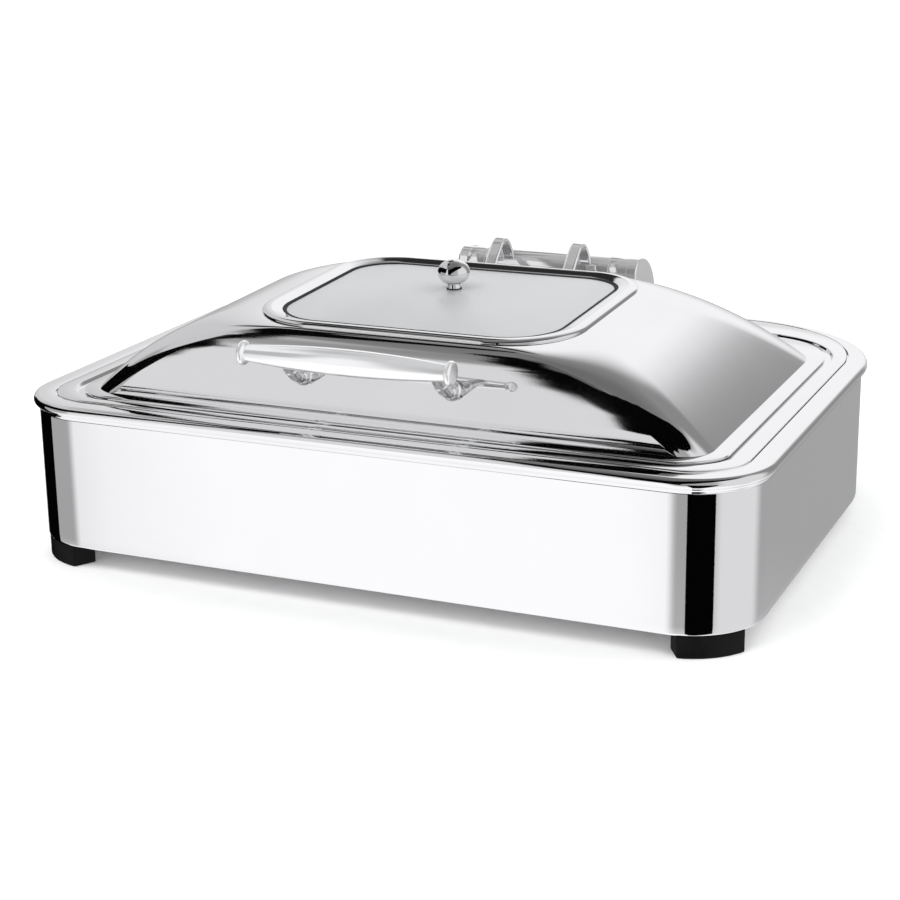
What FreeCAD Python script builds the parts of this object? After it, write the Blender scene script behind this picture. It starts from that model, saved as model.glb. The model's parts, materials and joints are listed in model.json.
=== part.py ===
import FreeCAD, Part
import math
import os

V = FreeCAD.Vector
os.makedirs("parts", exist_ok=True)

# Drop-in chafing dish standing in its rectangular casing, lid closed. Millimetres, +Z up.
# The origin lies on the rest plane, under the middle of the whole outline, handle included.
# -Y is the handle side, +Y the hinge side, +X the right-hand side.

SHEET = 1.5               # pressed steel sheet
BODY_GAP = 0.3            # play between pieces that come apart

# food pan, full gastronorm size; the casing is laid out round it
PAN_L = 530.0
PAN_W = 325.0
PAN_R = 34.0
PAN_DEPTH = 65.0
PAN_SHEET = 1.2
PAN_FLANGE = 11.0         # flange width round the food pan's body
PAN_TAPER = 7.0           # each side, top to bottom
PAN_FILLET = 13.0
PAN_REST = 8.0            # width of the shelf that carries the flange
PAN_SHELF_DROP = 3.5
PAN_PLAY = 2.5            # play round the food pan's flange

# casing
SIDE_ROOM = 53.0          # food pan to casing wall
FRONT_ROOM = 67.0
REAR_ROOM = 98.5
CASE_FRONT_Y = -239.0
CASE_FRONT_R = 61.5
CASE_REAR_R = 140.0
FOOT_H = 18.0
WALL_H = 115.0            # straight wall above the lower edge
ROLL_R = 4.5              # outer radius of the rolled rim
ROLL_OUT = 4.6            # how far the roll stands out from the wall
ROLL_RISE = 5.4           # middle of the roll above the top of the wall
LIP_W = 32.0              # inward lip along the lower edge
LEDGE_W = 34.0            # inward reach of the ledge under the drop-in flange
LEDGE_DROP = 4.5          # ledge below the rim
WALL_BEND_R = 2.5         # outer bend at the wall's lower edge
SEAM_DROP = 2.5           # seam between wall and rim, below the flare

# feet
FOOT_INSET = 0.8
FOOT_WIDTH = 19.5
FOOT_START = -81.0        # degrees about the casing corner, front right
FOOT_END = -28.0
FOOT_SLANT = 11.5         # how far the inner corners run on past the outer ones, degrees
FOOT_SCREW_R = 2.0
FOOT_SCREW_HEAD_R = 3.8

# drop-in flange and the recess that the lid lies in
RIM_BAND = 14.2           # casing rim seen outside the flange, front and sides
RIM_BAND_REAR = 4.8
FLANGE_GAP = 1.2
FLANGE_PROUD = 0.3
HEM_H = 3.0
SEAL_W = 7.0
SEAL_INSET = 2.2
RECESS_MARGIN = 26.3      # casing wall to recess, front and sides
RECESS_REAR_MARGIN = 48.0
RECESS_FRONT_R = 47.0
RECESS_REAR_R = 82.0
RECESS_DEPTH = 3.0
STEP_RUN = 2.4            # the recess edge slopes in this far

# water pan
WATER_ROOM = 33.7         # water pan's underside below the food pan
WELL_TAPER = 9.0
WELL_FILLET = 16.0
BASE_PLATE_L = 440.0
BASE_PLATE_W = 240.0
BASE_PLATE_R = 60.0
BASE_PLATE_T = 4.0

# lid
LID_MARGIN = 20.7         # recess edge to the foot of the dome, front and sides
LID_REAR_MARGIN = 30.5
LID_FOOT_REAR_R = 65.0
LID_RIM_GAP = 7.7         # recess edge to the lid's rim
LID_RIM_H = 2.5
WINDOW_HALF_W = 135.4     # crest of the window frame
WINDOW_SETBACK = 84.5     # casing front to the window frame's crest
WINDOW_TO_AXIS = 129.0    # crest at the rear to the hinge axis
WINDOW_FRONT_R = 58.0
WINDOW_REAR_R = 46.0
LID_H = 69.0              # lid top above the lid's rim, at the window's middle
WINDOW_TILT = 1.8         # degrees, rear edge higher
LID_SHOULDER = 1.0        # lid top that shows round the frame
LID_TOP_REAR_R = 72.5
SIDE_POWER = 1.97         # fullness of the side panels
REAR_POWER = 1.5         # fullness of the rear panel
REAR_BULGE_R = 18.0       # extra corner radius half way up, rear
FRONT_BULGE_R = -8.0

# window frame, glass and knob
FRAME_OUT = 8.0           # frame outside its crest
FRAME_IN = 9.0            # frame inside its crest
FRAME_H = 3.5
FRAME_EDGE = 1.0
OPENING_IN = 3.0          # lid opening inside the crest line
GASKET_LIP = 1.0
GASKET_SHOW = 1.5         # gasket seen inside the frame
GLASS_T = 4.0
GLASS_EDGE = 2.0          # glass edge inside the lid opening
GLASS_RISE = 8.0
RETAINER_GAP = 3.0        # flange inside the edge of the lid top
RETAINER_BITE = 2.0       # how far its screws reach into the frame
RETAINER_SCREW_R = 1.5
RETAINER_HEAD_R = 2.8
HEAD_ROOM = 0.5           # between a screw head and the wall beside it
KNOB_R = 14.0
KNOB_H = 22.0             # the ball is a little flat
KNOB_BACK = 9.0           # knob behind the window's middle
KNOB_NECK_R = 5.0
KNOB_LIFT = 2.4           # neck length between washer and ball
KNOB_WASHER_R = 6.5
KNOB_HEAD_R = 6.0
KNOB_STUD_R = 2.5

# handle
BAR_AHEAD = 6.5           # bar in front of the casing wall
BAR_UP = 63.0             # bar above the lid's rim
BAR_HALF = 85.0
BAR_MID_R = 10.7
BAR_END_R = 6.6
CAP_R = 9.8
CAP_T = 6.0
LEG_X = 65.0
LEG_UP = 32.5             # foot of the legs above the lid's rim
LEG_R = 5.5
LEG_BEND = ((0.24, 0.1), (0.48, 0.48), (0.75, 0.87))   # shares of the run and rise to the bar
LEG_BOSS_R = 8.5
LEG_BOSS_T = 6.0
LEG_SCREW_R = 2.0
FORMED_T = 1.5            # washers and plates formed to the lid's inside
SEAT_EASE = 0.1           # play under screw heads and nuts that meet the curved sheet

# hinge
AXIS_IN = 54.0            # hinge axis in front of the casing's rear wall
AXIS_UP = 47.5            # hinge axis above the lid's rim
BARREL_R = 15.0
BARREL_WALL = 3.0
BARREL_HALF = 62.7
COLLAR_HALF = 81.0
TOWER_HALF = 90.5
TOWER_REAR_R = 46.0
TOWER_FOOT_BACK = 10.0    # front of the tower's foot behind the axis
TOWER_NOSE_DROP = 24.5    # where the nose turns in, below the axis
HINGE_PLATE_T = 2.0
SHAFT_R = 5.0
SHAFT_BLIND = 4.0         # wall left outside the shaft's blind end
RUN_FIT = 0.05
BUSH_L = 12.0
DAMPER_L = 44.0
SPRING_R = 8.0
SPRING_WIRE_R = 1.0
SPRING_TURNS = 9
COVER_TOP = 26.0          # degrees above level where the rear cover ends
HINGE_SCREW_R = 2.5
HINGE_SCREW_HEAD_R = 4.5

# arms between barrel and lid
ARM_X = 39.0
ARM_W = 12.0
ARM_T = 4.5
ARM_REACH = 68.5          # lid foot in front of the hinge axis
ARM_APEX_REACH = 29.5
ARM_APEX_UP = 30.0        # highest point above the axis
ARM_PAD_W = 26.0
ARM_PAD_L = 30.0
ARM_PAD_T = 2.5
ARM_SCREW_R = 2.0

# places that follow
CASE_W = PAN_L + 2 * SIDE_ROOM
CASE_REAR_Y = CASE_FRONT_Y + FRONT_ROOM + PAN_W + REAR_ROOM
AXIS_Y = CASE_REAR_Y - AXIS_IN
TOWER_FOOT_Y = AXIS_Y + TOWER_FOOT_BACK
ARM_FOOT_Y = AXIS_Y - ARM_REACH
ARM_APEX_Y = AXIS_Y - ARM_APEX_REACH
WINDOW_FRONT_Y = CASE_FRONT_Y + WINDOW_SETBACK
WINDOW_REAR_Y = AXIS_Y - WINDOW_TO_AXIS
WINDOW_Y = (WINDOW_FRONT_Y + WINDOW_REAR_Y) / 2
KNOB_Y = WINDOW_Y + KNOB_BACK
BAR_Y = CASE_FRONT_Y - BAR_AHEAD
CASE_Z = FOOT_H
NECK_Z = CASE_Z + WALL_H
SEAM_Z = NECK_Z - SEAM_DROP
ROLL_Z = NECK_Z + ROLL_RISE
RIM_Z = ROLL_Z + ROLL_R
FLANGE_Z = RIM_Z + FLANGE_PROUD
FLOOR_Z = FLANGE_Z - RECESS_DEPTH
SHELF_Z = FLOOR_Z - PAN_SHELF_DROP
LID_Z = FLOOR_Z + BODY_GAP + LID_RIM_H
LEDGE_Z = RIM_Z - LEDGE_DROP
WELL_BOTTOM = SHELF_Z - PAN_DEPTH - WATER_ROOM
WINDOW_Z = LID_Z + LID_H
BAR_Z = LID_Z + BAR_UP
LEG_Z = LID_Z + LEG_UP
AXIS_Z = LID_Z + AXIS_UP
TOWER_NOSE_Z = AXIS_Z - TOWER_NOSE_DROP
ARM_APEX_Z = AXIS_Z + ARM_APEX_UP


class Outline:
    """A rectangle with round corners: half width, front and rear edge, front and rear radius."""

    def __init__(self, half, front, rear, r_front, r_rear):
        self.half = half
        self.front = front
        self.rear = rear
        self.r_front = r_front
        self.r_rear = r_rear

    def inset(self, d):
        return Outline(self.half - d, self.front + d, self.rear - d, self.r_front - d, self.r_rear - d)

    def mid(self):
        return (self.front + self.rear) / 2

    def wire(self, z=0.0):
        h, f, r, a, b = self.half, self.front, self.rear, self.r_front, self.r_rear
        s = math.sqrt(0.5)

        def line(x0, y0, x1, y1):
            return Part.makeLine(V(x0, y0, z), V(x1, y1, z))

        def arc(x0, y0, cx, cy, sx, sy, rad, x1, y1):
            m = V(cx + sx * rad * s, cy + sy * rad * s, z)
            return Part.Arc(V(x0, y0, z), m, V(x1, y1, z)).toShape()

        return Part.Wire([
            line(0, f, h - a, f),
            arc(h - a, f, h - a, f + a, 1, -1, a, h, f + a),
            line(h, f + a, h, r - b),
            arc(h, r - b, h - b, r - b, 1, 1, b, h - b, r),
            line(h - b, r, -h + b, r),
            arc(-h + b, r, -h + b, r - b, -1, 1, b, -h, r - b),
            line(-h, r - b, -h, f + a),
            arc(-h, f + a, -h + a, f + a, -1, -1, a, -h + a, f),
            line(-h + a, f, 0, f),
        ])

    def block(self, z0, z1):
        return Part.Face(self.wire(z0)).extrude(V(0, 0, z1 - z0))

    def ring(self, inner, z0, z1):
        return self.block(z0, z1).cut(inner.block(z0 - 1, z1 + 1))

    def sweep(self, points):
        """Sweep a closed section round the outline. Points are (outward, z), or a pair of
        them: a point on an arc and the arc's end. A section that ends on an arc ends where
        it began."""
        edges = []
        last = points[0]
        closed = isinstance(points[-1][0], tuple)
        for p in points[1:] if closed else points[1:] + points[:1]:
            if isinstance(p[0], tuple):
                m, p = p
                edges.append(Part.Arc(self.at(last), self.at(m), self.at(p)).toShape())
            else:
                edges.append(Part.makeLine(self.at(last), self.at(p)))
            last = p
        return self.wire(0).makePipeShell([Part.Wire(edges)], True, False)

    def at(self, p):
        return V(0, self.front - p[0], p[1])


CASE = Outline(CASE_W / 2, CASE_FRONT_Y, CASE_REAR_Y, CASE_FRONT_R, CASE_REAR_R)
FLANGE_IN = RIM_BAND + FLANGE_GAP
FLANGE = CASE.inset(FLANGE_IN)
FLANGE.rear = CASE_REAR_Y - RIM_BAND_REAR - FLANGE_GAP
RIM_HOLE = CASE.inset(RIM_BAND)
RIM_HOLE.rear = CASE_REAR_Y - RIM_BAND_REAR
RECESS = Outline(CASE.half - RECESS_MARGIN, CASE.front + RECESS_MARGIN,
                 CASE.rear - RECESS_REAR_MARGIN, RECESS_FRONT_R, RECESS_REAR_R)
LID_FOOT = RECESS.inset(LID_MARGIN)
LID_FOOT.rear = RECESS.rear - LID_REAR_MARGIN
LID_FOOT.r_rear = LID_FOOT_REAR_R
LID_RIM = RECESS.inset(LID_RIM_GAP)
PAN_Y = CASE_FRONT_Y + FRONT_ROOM + PAN_W / 2
# crest of the window frame round its own middle, in which the window's pieces are drawn flat
CREST = Outline(WINDOW_HALF_W, WINDOW_FRONT_Y - WINDOW_Y, WINDOW_REAR_Y - WINDOW_Y,
                WINDOW_FRONT_R, WINDOW_REAR_R)
LID_TOP = CREST.inset(-FRAME_OUT - LID_SHOULDER)
LID_TOP.r_rear = LID_TOP_REAR_R


def centred(length, width, radius):
    return Outline(length / 2, PAN_Y - width / 2, PAN_Y + width / 2, radius, radius)


def cylinder(radius, start, end):
    axis = end.sub(start)
    return Part.makeCylinder(radius, axis.Length, start, axis)


def along_x(radius, x0, x1, y=AXIS_Y, z=AXIS_Z):
    return cylinder(radius, V(x0, y, z), V(x1, y, z))


def mirrored(shape):
    return shape.mirror(V(0, 0, 0), V(1, 0, 0))


def both(shape):
    return Part.makeCompound([shape, mirrored(shape)])


def on_window(shape):
    """Tilt a piece drawn flat round the window's middle into its place in the lid."""
    s = shape.copy()
    s.rotate(V(0, 0, 0), V(1, 0, 0), WINDOW_TILT)
    s.translate(V(0, WINDOW_Y, WINDOW_Z))
    return s


def loft(wires, ruled=False):
    return Part.makeLoft(wires, True, ruled)


def tub(top, taper, z_top, z_bottom, fillet):
    """A tapered block with round corners and a round lower edge."""
    s = loft([top.wire(z_top), top.inset(taper).wire(z_bottom)], True)
    low = [e for e in s.Edges if e.BoundBox.ZMax < z_bottom + 0.01]
    return s.makeFillet(fillet, low)


def finish(shape):
    return shape.removeSplitter()


def casing_shell():
    """Wall with an inward lip along its lower edge."""
    t = SHEET
    bend = WALL_BEND_R
    near = bend * (1 - math.sqrt(0.5))
    s = CASE.sweep([
        (-LIP_W, CASE_Z),
        (-bend, CASE_Z),
        ((-near, CASE_Z + near), (0, CASE_Z + bend)),
        (0, SEAM_Z),
        (-t, SEAM_Z),
        (-t, CASE_Z + t),
        (-LIP_W, CASE_Z + t),
    ])
    for p in all_foot_screw_points():
        s = s.cut(cylinder(FOOT_SCREW_R, V(p.x, p.y, CASE_Z - 1), V(p.x, p.y, CASE_Z + t + 1)))
    return s


def casing_rim():
    """Pressed frame on top of the wall: flare, rolled edge, flat rim and the drop-in's ledge."""
    t = SHEET
    top = RIM_Z
    cx = ROLL_OUT - ROLL_R
    low = math.radians(-55)
    inner_r = ROLL_R - t

    def on_roll(r, angle):
        return (cx + r * math.cos(angle), ROLL_Z + r * math.sin(angle))

    edge = CASE.sweep([
        (-t, SEAM_Z),
        (0, SEAM_Z),
        ((0.55, NECK_Z - 0.6), on_roll(ROLL_R, low)),
        ((cx + ROLL_R, ROLL_Z), (cx, top)),
        (-RIM_BAND_REAR, top),
        (-RIM_BAND_REAR, top - t),
        (cx, top - t),
        ((cx + inner_r, ROLL_Z), on_roll(inner_r, low)),
        ((-t + 0.7, NECK_Z - 0.8), (-t, SEAM_Z)),
    ])
    rim = CASE.inset(RIM_BAND_REAR).ring(RIM_HOLE, top - t, top)
    joggle = RIM_HOLE.inset(-t).ring(RIM_HOLE, LEDGE_Z - t, top)
    ledge = RIM_HOLE.inset(-t).ring(CASE.inset(LEDGE_W), LEDGE_Z - t, LEDGE_Z)
    return finish(edge.fuse([rim, joggle, ledge]))


def foot_centres():
    """Corner centre and corner radius of each foot, and the turn from the front right one."""
    fx = CASE.half - CASE.r_front
    fy = CASE.front + CASE.r_front
    rx = CASE.half - CASE.r_rear
    ry = CASE.rear - CASE.r_rear
    return {"front_right": (fx, fy, CASE.r_front), "rear_right": (rx, ry, CASE.r_rear)}


def polar(cx, cy, r, degrees, z=0.0):
    a = math.radians(degrees)
    return V(cx + r * math.cos(a), cy + r * math.sin(a), z)


def foot(cx, cy, corner_r, rear):
    """A corner foot under the casing's lip: outer face along the corner, ends cut on a slant."""
    r1 = corner_r - FOOT_INSET
    r0 = r1 - FOOT_WIDTH
    if rear:
        half = (FOOT_END - FOOT_START) / 2 * (CASE.r_front - FOOT_INSET) / r1
        mid = 45.0
        a0, a1 = mid - half, mid + half
        slant = FOOT_SLANT * CASE.r_front / corner_r
    else:
        a0, a1 = FOOT_START, FOOT_END
        mid = (a0 + a1) / 2
        slant = FOOT_SLANT
    wire = Part.Wire([
        Part.Arc(polar(cx, cy, r1, a0), polar(cx, cy, r1, mid), polar(cx, cy, r1, a1)).toShape(),
        Part.makeLine(polar(cx, cy, r1, a1), polar(cx, cy, r0, a1 + slant)),
        Part.Arc(polar(cx, cy, r0, a1 + slant), polar(cx, cy, r0, mid), polar(cx, cy, r0, a0 - slant)).toShape(),
        Part.makeLine(polar(cx, cy, r0, a0 - slant), polar(cx, cy, r1, a0)),
    ])
    s = Part.Face(wire).extrude(V(0, 0, CASE_Z))
    upright = [e for e in s.Edges if abs(e.BoundBox.ZLength - CASE_Z) < 0.01]
    s = s.makeFillet(2.0, upright)
    low = [e for e in s.Edges if e.BoundBox.ZMax < 0.01]
    s = s.makeFillet(1.2, low)
    for p in foot_screw_points(cx, cy, corner_r, rear):
        s = s.cut(cylinder(FOOT_SCREW_R, p, p + V(0, 0, CASE_Z)))
        s = s.cut(cylinder(FOOT_SCREW_HEAD_R, p - V(0, 0, 1), p + V(0, 0, CASE_Z / 2)))
    return s


def foot_screw_points(cx, cy, corner_r, rear):
    r = corner_r - FOOT_INSET - FOOT_WIDTH / 2
    mid = 45.0 if rear else (FOOT_START + FOOT_END) / 2
    step = math.degrees(FOOT_WIDTH * 0.8 / r)
    return [polar(cx, cy, r, mid - step), polar(cx, cy, r, mid + step)]


def all_foot_screw_points():
    out = []
    for name, (cx, cy, r) in foot_centres().items():
        for p in foot_screw_points(cx, cy, r, name.startswith("rear")):
            out += [p, V(-p.x, p.y, 0)]
    return out


def feet():
    out = {}
    for name, (cx, cy, r) in foot_centres().items():
        s = foot(cx, cy, r, name.startswith("rear"))
        out["foot_" + name] = s
        out["foot_" + name.replace("right", "left")] = mirrored(s)
    return out


def foot_screws():
    """Self-tapping screws up through each foot into the casing's lip."""
    out = []
    for p in all_foot_screw_points():
        seat = V(p.x, p.y, CASE_Z / 2)
        shank = cylinder(FOOT_SCREW_R, seat, V(p.x, p.y, CASE_Z + SHEET + 3.0))
        head = cylinder(FOOT_SCREW_HEAD_R, seat - V(0, 0, 2.6), seat)
        drive = cylinder(1.6, seat - V(0, 0, 2.7), seat - V(0, 0, 1.2))
        out.append(finish(shank.fuse(head)).cut(drive))
    return Part.makeCompound(out)


def rim_seal():
    outer = FLANGE.inset(SEAL_INSET)
    return outer.ring(outer.inset(SEAL_W), LEDGE_Z + BODY_GAP, FLANGE_Z - SHEET)


def shelf_outline():
    return centred(PAN_L + 2 * PAN_PLAY, PAN_W + 2 * PAN_PLAY, PAN_R + PAN_PLAY)


def well_outline():
    return centred(PAN_L - 2 * PAN_REST, PAN_W - 2 * PAN_REST, PAN_R - PAN_REST)


def water_pan():
    """One pressing: flange with a turned-down hem, sunk recess, pan shelf and deep well."""
    t = SHEET
    flange = FLANGE.ring(RECESS, FLANGE_Z - t, FLANGE_Z)
    hem = FLANGE.ring(FLANGE.inset(t), FLANGE_Z - HEM_H, FLANGE_Z)
    mid = (FLANGE_Z + FLOOR_Z) / 2
    step = RECESS.sweep([
        (0.5, FLANGE_Z),
        (0, FLANGE_Z),
        ((-STEP_RUN * 0.4, mid + 0.9), (-STEP_RUN / 2, mid)),
        ((-STEP_RUN * 0.6, mid - 0.9), (-STEP_RUN, FLOOR_Z)),
        (-STEP_RUN - 0.5, FLOOR_Z),
        (-STEP_RUN - 0.5, FLOOR_Z - t),
        (-STEP_RUN, FLOOR_Z - t),
        (0.5, FLANGE_Z - t - 0.4),
    ])
    inner = RECESS.inset(STEP_RUN)
    shelf = shelf_outline()
    floor = inner.ring(shelf, FLOOR_Z - t, FLOOR_Z)
    drop = shelf.inset(-t).ring(shelf, SHELF_Z - t, FLOOR_Z)
    well = well_outline()
    bearing = shelf.inset(-t).ring(well, SHELF_Z - t, SHELF_Z)
    outer = tub(well.inset(-t), WELL_TAPER, SHELF_Z, WELL_BOTTOM, WELL_FILLET)
    inside = tub(well, WELL_TAPER, SHELF_Z, WELL_BOTTOM + t, WELL_FILLET - t)
    tank = outer.cut(inside)
    s = flange.fuse([hem, step, floor, drop, bearing, tank])
    s = finish(s)
    for x, y in hinge_screw_points():
        s = s.cut(cylinder(HINGE_SCREW_R, V(x, y, FLANGE_Z - 10), V(x, y, FLANGE_Z + 1)))
    return s


def induction_base_plate():
    s = centred(BASE_PLATE_L, BASE_PLATE_W, BASE_PLATE_R).block(WELL_BOTTOM - BASE_PLATE_T, WELL_BOTTOM)
    low = [e for e in s.Edges if e.BoundBox.ZMax < WELL_BOTTOM - BASE_PLATE_T + 0.01]
    return s.makeFillet(1.5, low)


def food_pan():
    """Full-size gastronorm pan hanging by its flange on the water pan's shelf."""
    t = PAN_SHEET
    flange = centred(PAN_L, PAN_W, PAN_R)
    mouth = flange.inset(PAN_FLANGE)
    outer = tub(mouth, PAN_TAPER, SHELF_Z + t, SHELF_Z - PAN_DEPTH, PAN_FILLET)
    inside = tub(mouth.inset(t), PAN_TAPER, SHELF_Z + t, SHELF_Z - PAN_DEPTH + t, PAN_FILLET - t)
    lip = flange.ring(mouth.inset(t), SHELF_Z, SHELF_Z + t)
    return finish(outer.cut(inside).fuse(lip))


def lid_sections(shrink, drop):
    """Outlines of the dome from its foot to its flat top, shrunk and lowered for the inside."""
    levels = (0.0, 0.14, 0.32, 0.52, 0.7, 0.85, 0.95, 1.0)
    foot = LID_FOOT
    top = Outline(LID_TOP.half, LID_TOP.front + WINDOW_Y, LID_TOP.rear + WINDOW_Y,
                  LID_TOP.r_front, LID_TOP.r_rear)
    wires = []
    for h in levels:
        side = 1 - (1 - h) ** (1 / SIDE_POWER)
        back = 1 - (1 - h) ** (1 / REAR_POWER)
        front = 1 - math.sqrt(1 - h * h)
        mid = 4 * side * (1 - side)
        o = Outline(
            foot.half + (top.half - foot.half) * side,
            foot.front + (top.front - foot.front) * front,
            foot.rear + (top.rear - foot.rear) * back,
            foot.r_front + (top.r_front - foot.r_front) * side + FRONT_BULGE_R * mid,
            foot.r_rear + (top.r_rear - foot.r_rear) * side + REAR_BULGE_R * mid,
        ).inset(shrink)
        tilt = WINDOW_TILT * h
        level = o.mid()
        z = LID_Z + (WINDOW_Z - LID_Z) * h + (level - WINDOW_Y) * math.tan(math.radians(tilt)) - drop
        w = o.wire(0)
        w.translate(V(0, -level, 0))
        w.rotate(V(0, 0, 0), V(1, 0, 0), tilt)
        w.translate(V(0, level, z))
        wires.append(w)
    return wires


def lid_outer():
    return loft(lid_sections(0.0, 0.0))


def lid_inner():
    """The space under the dome, run a little below its foot."""
    dome = loft(lid_sections(SHEET, SHEET))
    skirt = LID_FOOT.inset(SHEET).block(LID_Z - SHEET - 5, LID_Z - SHEET)
    return dome.fuse(skirt)


def lid_shell(outer, inner, holes):
    t = SHEET
    under = LID_Z - LID_RIM_H
    hem = LID_RIM.sweep([
        (-3 * t, LID_Z - t),
        (-t, LID_Z - t),
        (-t, under),
        (0, under),
        (0, LID_Z - 1.2),
        ((-0.35, LID_Z - 0.35), (-1.2, LID_Z)),
        (-3 * t, LID_Z),
    ])
    rim = LID_RIM.inset(2 * t).ring(LID_FOOT.inset(t), LID_Z - t, LID_Z)
    s = outer.cut(inner).fuse([rim, hem])
    opening = on_window(CREST.inset(OPENING_IN).block(-20, 20))
    s = s.cut(opening)
    for p in retainer_screw_points():
        s = s.cut(on_window(cylinder(RETAINER_SCREW_R, p - V(0, 0, 4), p + V(0, 0, 4))))
    for hole in holes:
        s = s.cut(both(hole))
    return finish(s)


def window_frame():
    """Raised bright frame: a full outer slope, a soft crest and a straight inner bevel."""
    h = FRAME_H
    s = CREST.sweep([
        (FRAME_OUT, 0),
        (FRAME_OUT, 0.8),
        ((FRAME_OUT * 0.62, h * 0.72), (1.4, h)),
        ((0.2, h + 0.1), (-0.8, h - 0.3)),
        (-FRAME_IN, FRAME_EDGE),
        (-FRAME_IN, 0),
    ])
    for p in retainer_screw_points():
        s = s.cut(cylinder(RETAINER_SCREW_R, p - V(0, 0, 1), p + V(0, 0, RETAINER_BITE)))
    return on_window(s)


def glass_outline():
    return CREST.inset(OPENING_IN + GLASS_EDGE)


def glass_dome(z_edge, below):
    """Loft from the glass edge up to the small flat that carries the knob."""
    edge = glass_outline()
    flat = KNOB_WASHER_R + 2.0
    knob_y = KNOB_Y - WINDOW_Y
    last = Outline(flat, knob_y - flat, knob_y + flat, flat - 0.5, flat - 0.5)
    wires = [edge.wire(z_edge - below)]
    for s in (0.04, 0.18, 0.38, 0.6, 0.82, 1.0):
        def mix(a, b):
            return a + (b - a) * s
        o = Outline(mix(edge.half, last.half), mix(edge.front, last.front), mix(edge.rear, last.rear),
                    mix(edge.r_front, last.r_front), mix(edge.r_rear, last.r_rear))
        wires.append(o.wire(z_edge - below + GLASS_RISE * (1 - (1 - s) ** 2)))
    return loft(wires)


def window_glass():
    z_top = -GASKET_LIP
    upper = glass_dome(z_top, 0.0)
    edge = glass_outline().block(z_top - GLASS_T, z_top)
    lower = glass_dome(z_top, GLASS_T)
    knob_y = KNOB_Y - WINDOW_Y
    hole = cylinder(KNOB_STUD_R, V(0, knob_y, -20), V(0, knob_y, 20))
    return on_window(finish(edge.fuse(upper)).cut(lower).cut(hole))


def window_gasket():
    """Channel round the glass edge; its upper lip shows as a thin line inside the frame."""
    outer = CREST.inset(OPENING_IN)
    inner = CREST.inset(FRAME_IN + GASKET_SHOW)
    s = outer.ring(inner, -GLASS_T - 2 * GASKET_LIP, 0)
    z_top = -GASKET_LIP
    slot = glass_outline().block(z_top - GLASS_T, z_top)
    s = s.cut(slot)
    return on_window(s.cut(glass_dome(z_top, 0.0)))


def window_retainer():
    t = SHEET
    low = -GLASS_T - 2 * GASKET_LIP
    wall = CREST.inset(OPENING_IN)
    s = LID_TOP.inset(RETAINER_GAP).ring(wall, -2 * t, -t)
    s = s.fuse(wall.inset(-t).ring(wall, low - t, -t))
    s = s.fuse(wall.inset(-t).ring(CREST.inset(FRAME_IN), low - t, low))
    for p in retainer_screw_points():
        s = s.cut(cylinder(RETAINER_SCREW_R, p - V(0, 0, 10), p + V(0, 0, 4)))
    return on_window(finish(s))


def retainer_screw_points():
    """Places in the window's own plane, half way across the frame's foot."""
    o = CREST.inset(OPENING_IN - SHEET - RETAINER_HEAD_R - HEAD_ROOM)
    mid = (o.front + o.rear) / 2
    x = o.half * 0.5
    return [V(x, o.front, 0), V(-x, o.front, 0), V(x, o.rear, 0), V(-x, o.rear, 0),
            V(o.half, mid - 50, 0), V(o.half, mid + 50, 0), V(-o.half, mid - 50, 0), V(-o.half, mid + 50, 0)]


def retainer_screws():
    out = []
    for p in retainer_screw_points():
        seat = p - V(0, 0, 2 * SHEET)
        head = cylinder(RETAINER_HEAD_R, seat - V(0, 0, 1.8), seat)
        shank = cylinder(RETAINER_SCREW_R, seat, p + V(0, 0, RETAINER_BITE))
        drive = cylinder(1.1, seat - V(0, 0, 2.0), seat - V(0, 0, 0.9))
        out.append(on_window(finish(head.fuse(shank)).cut(drive)))
    return Part.makeCompound(out)


def knob_base():
    """Height of the flat in the middle of the glass, in the window's own plane."""
    return GLASS_RISE - GASKET_LIP


def glass_knob():
    y = KNOB_Y - WINDOW_Y
    z = knob_base() + GASKET_LIP
    ball_z = z + KNOB_LIFT + KNOB_H / 2
    flatten = FreeCAD.Matrix()
    flatten.scale(1, 1, KNOB_H / (2 * KNOB_R))
    ball = Part.makeSphere(KNOB_R).transformGeometry(flatten)
    ball.translate(V(0, y, ball_z))
    neck = Part.makeCone(KNOB_NECK_R + 1.0, KNOB_NECK_R, KNOB_LIFT + 2.0, V(0, y, z))
    s = finish(ball.fuse(neck))
    s = s.cut(cylinder(KNOB_STUD_R, V(0, y, z - 1), V(0, y, ball_z)))
    return on_window(s)


def knob_washers():
    """Silicone washers over and under the glass."""
    y = KNOB_Y - WINDOW_Y
    out = []
    for z0, z1 in ((knob_base(), knob_base() + GASKET_LIP),
                   (knob_base() - GLASS_T - GASKET_LIP, knob_base() - GLASS_T)):
        w = cylinder(KNOB_WASHER_R, V(0, y, z0), V(0, y, z1))
        out.append(on_window(w.cut(cylinder(KNOB_STUD_R, V(0, y, z0 - 1), V(0, y, z1 + 1)))))
    return Part.makeCompound(out)


def knob_screw():
    y = KNOB_Y - WINDOW_Y
    seat = knob_base() - GLASS_T - GASKET_LIP
    head = cylinder(KNOB_HEAD_R, V(0, y, seat - 3.0), V(0, y, seat))
    low = [e for e in head.Edges if e.BoundBox.ZMax < seat - 2.99]
    head = head.makeFillet(1.5, low)
    shank = cylinder(KNOB_STUD_R, V(0, y, seat), V(0, y, knob_base() + GASKET_LIP + KNOB_LIFT + KNOB_H / 2))
    return on_window(finish(head.fuse(shank)))


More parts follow.
